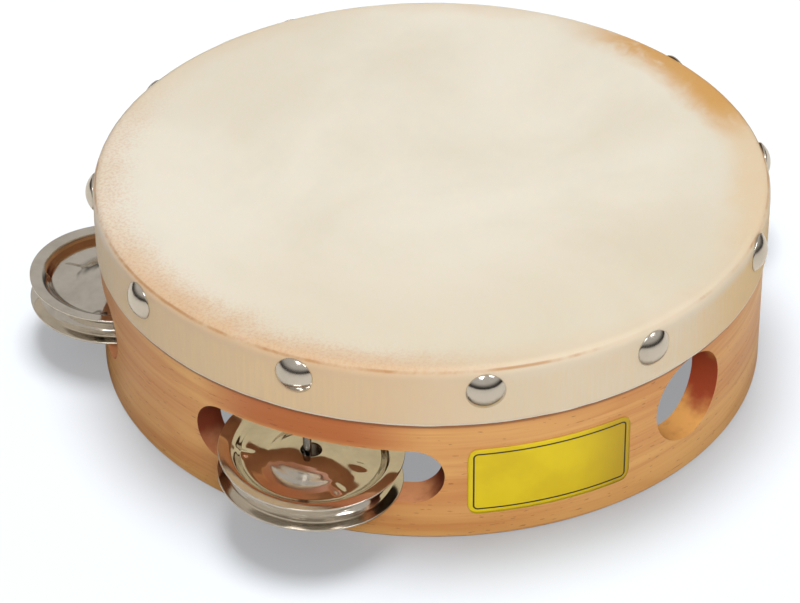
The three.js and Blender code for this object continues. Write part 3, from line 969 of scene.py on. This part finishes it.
def jingleTree():
    crimps = [(f"Crimp {number} turn", f"Crimp {number} reach") for number in (1, 2, 3)]
    labels = ["Hole", "Rim", "Depth", "Crimp height", "Crimp width", "Crimp length"]
    labels += [label for pair in crimps for label in pair]
    inputs = [("Material", "Material")] + [(label, "Float") for label in labels]
    tree, given, result = newTree("jingleTree", inputs)
    size = {"Size X": 1.0, "Size Y": 1.0, "Vertices X": jingle["columns"], "Vertices Y": jingle["rings"]}
    grid = add(tree, "GeometryNodeMeshGrid", size)
    where = add(tree, "GeometryNodeInputPosition").outputs[0]
    x, y = add(tree, "ShaderNodeSeparateXYZ", [where]).outputs[:2]
    turn = product(tree, maths(tree, "ADD", x, 0.5), 2 * math.pi)
    span = maths(tree, "SUBTRACT", given["Rim"], given["Hole"])
    radius = maths(tree, "ADD", given["Hole"], product(tree, span, maths(tree, "ADD", y, 0.5)))
    share = maths(tree, "DIVIDE", radius, given["Rim"])
    height = product(tree, sectionCurve(tree, share), given["Depth"])
    fade = ramp(tree, share, *jingle["crimpFade"])
    for turnLabel, reachLabel in crimps:
        angle = maths(tree, "SUBTRACT", turn, given[turnLabel])
        aside = product(tree, radius, maths(tree, "SINE", angle))
        aside = maths(tree, "DIVIDE", aside, given["Crimp width"])
        along = product(tree, radius, maths(tree, "COSINE", angle))
        along = maths(tree, "SUBTRACT", along, given[reachLabel])
        along = maths(tree, "DIVIDE", along, given["Crimp length"])
        ridge = maths(tree, "EXPONENT", product(tree, squares(tree, aside, along), -1.0))
        height = maths(tree, "ADD", height, product(tree, ridge, fade, given["Crimp height"]))
    east = product(tree, radius, maths(tree, "COSINE", turn))
    north = product(tree, radius, maths(tree, "SINE", turn))
    spot = add(tree, "ShaderNodeCombineXYZ", [east, north, height]).outputs[0]
    flat = add(tree, "ShaderNodeCombineXYZ", [turn, radius, 0.0]).outputs[0]
    mapped = add(tree, "GeometryNodeStoreNamedAttribute",
                 {"Geometry": grid.outputs[0], "Name": "jingleUV", "Value": flat},
                 data_type="FLOAT2", domain="CORNER")
    moved = add(tree, "GeometryNodeSetPosition", {"Geometry": mapped.outputs[0], "Position": spot})
    closed = add(tree, "GeometryNodeMergeByDistance",
                 {"Geometry": moved.outputs[0], "Distance": jingle["weld"]})
    smooth = add(tree, "GeometryNodeSetShadeSmooth", {"Geometry": closed.outputs[0]})
    dressed = add(tree, "GeometryNodeSetMaterial",
                  {"Geometry": smooth.outputs[0], "Material": given["Material"]})
    tree.links.new(dressed.outputs[0], result.inputs[0])
    return tree


def jinglePlace(node):  # the CAD jingle's floor as origin, and its axis, from floor to rim, as Z
    points = np.array([v.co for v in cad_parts[node].data.vertices], float)
    points = np.unique(points.round(7), axis=0)
    centre = points.mean(0)
    axis = np.linalg.svd(points - centre)[2][2]
    height = (points - centre) @ axis
    radius = np.linalg.norm(points - centre - np.outer(height, axis), axis=1)
    rim = radius > radius.max() * jingle["rimShare"]
    middle = radius < radius.max() * jingle["middleShare"]
    if height[rim].mean() < height[middle].mean():
        axis, height = -axis, -height
    up = Vector(axis)
    east = (Vector((1, 0, 0)) - up * up.x).normalized()
    turned = Matrix((east, up.cross(east), up)).transposed().to_4x4()
    return Matrix.Translation(Vector(centre + axis * height.min())) @ turned


def makeJingles():
    finish = makeMetal("jingleNickel", metal["nickel"], jingle["rough"], brushed=True)
    tree = jingleTree()
    for node, crimps in jingle["crimps"].items():
        made = meshObject(node.replace("jingle", "disc"), [], [])
        values = {"Hole": jingle["hole"], "Rim": jingle["rim"], "Depth": jingle["depth"],
                  "Crimp height": jingle["crimpHeight"], "Crimp width": jingle["crimpWide"],
                  "Crimp length": jingle["crimpLong"], "Material": finish}
        for number, (degrees, reach) in enumerate(crimps, 1):
            values[f"Crimp {number} turn"] = math.radians(degrees)
            values[f"Crimp {number} reach"] = reach * mm
        nodesOn(made, tree, values)
        wall = made.modifiers.new("sheet", "SOLIDIFY")
        wall.thickness = jingle["sheet"]
        wall.offset = -1
        wall.use_even_offset = True
        soften(made, **jingle["edge"])
        evaluated(made)
        made.data.transform(jinglePlace(node))
        smoothShaded(made.data)
        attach(made, node)
        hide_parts(node)


makeJingles()
print("jingles hang on their nails")


# Sticker

sticker = {
    "height": 23 * mm,
    "width": 50.4 * mm,
    "corner": 3 * mm,
    "thick": 0.25 * mm,
    "gap": 0.06 * mm,    # glue between the sticker and the wood
    "columns": 64,
    "rows": 24,
    "inset": 1.7 * mm,   # from the edge to the middle of the printed line
    "line": 0.5 * mm,
    "lineShares": (0.6, 0.4),
    "yellow": "dcc21c",
    "shade": "d0b41c",
    # colour of the painted shade at the sticker's far end, where it curves away from the light
    "side": "ae8c24",
    "ink": "2a2722",
    "shadedSideShares": (0.05, 0.5),  # painted shade: shares of the width between which the darker tone of the sticker's far end comes in
    "sideTint": 0.8,
    "cloud": (60.0, 3.0, 0.5),
    "cloudTint": (0.35, 0.7),
    "finish": {"Roughness": 0.42, "Specular IOR Level": 0.3},
    "bump": (0.1 * mm, 0.3),
}


def makeStickerFilm():
    made, tree, shader = material("stickerFilm", sticker["finish"])
    flat = add(tree, "ShaderNodeUVMap", uv_map="stickerUV").outputs[0]
    x, y = add(tree, "ShaderNodeSeparateXYZ", [flat]).outputs[:2]
    corner = sticker["corner"] - sticker["inset"]
    past = []
    for value, size in ((x, sticker["width"]), (y, sticker["height"])):
        half = size / 2 - sticker["inset"] - corner
        beyond = maths(tree, "SUBTRACT", maths(tree, "ABSOLUTE", value), half)
        past.append(maths(tree, "MAXIMUM", beyond, 0.0))
    away = maths(tree, "SUBTRACT", maths(tree, "SQRT", squares(tree, *past)), corner)
    ends = [sticker["line"] * share for share in sticker["lineShares"]]
    line = ramp(tree, maths(tree, "ABSOLUTE", away), *ends)
    cloud = noiseOf(tree, flat, sticker["cloud"])
    cloudy = ramp(tree, cloud, *sticker["cloudTint"])
    tone = mixed(tree, cloudy, colour(sticker["yellow"]), colour(sticker["shade"]))
    # painted shade: the sticker darkens towards its far end
    ends = [sticker["width"] * share for share in sticker["shadedSideShares"]]
    side = ramp(tree, x, *ends, 0.0, sticker["sideTint"])
    tone = mixed(tree, side, tone, colour(sticker["side"]))
    tree.links.new(mixed(tree, line, tone, colour(sticker["ink"])), shader.inputs["Base Color"])
    bump(tree, shader, cloud, *sticker["bump"])
    return made


def makeSticker():
    middle, centre = middleOf("label"), azimuthOf("label")
    wide, tall, corner = sticker["width"] / 2, sticker["height"] / 2, sticker["corner"]
    columns, rows = sticker["columns"], sticker["rows"]
    inner = hoopRadius + sticker["gap"]
    flat = []
    for step in range(columns + 1):
        along = -wide + 2 * wide * step / columns
        past = max(0.0, abs(along) - (wide - corner))
        reach = tall - corner + math.sqrt(max(0.0, corner ** 2 - past ** 2))
        for row in range(rows + 1):
            flat.append((along, -reach + 2 * reach * row / rows))
    vertices = []
    for radius in (inner + sticker["thick"], inner):
        for along, height in flat:
            turn = centre + math.degrees(along / hoopRadius)
            vertices.append(atAzimuth(radius, turn, middle.z + height))
    count = len(flat)
    faces = []
    for step in range(columns):
        for row in range(rows):
            a = step * (rows + 1) + row
            b = a + rows + 1
            faces.append([a, b, b + 1, a + 1])
            faces.append([count + a + 1, count + b + 1, count + b, count + a])
    border = list(range(rows))
    border += [step * (rows + 1) + rows for step in range(columns)]
    border += [columns * (rows + 1) + row for row in range(rows, 0, -1)]
    border += [step * (rows + 1) for step in range(columns, 0, -1)]
    for here, there in zip(border, border[1:] + border[:1]):
        faces.append([here, there, count + there, count + here])
    made = meshObject("stickerFilm", vertices, faces)
    layer = made.data.uv_layers.new(name="stickerUV")
    for loop in made.data.loops:
        layer.data[loop.index].uv = flat[loop.vertex_index % count]
    made.data.materials.append(makeStickerFilm())
    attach(made, "drum")
    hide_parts("label")


makeSticker()
print("sticker is on")
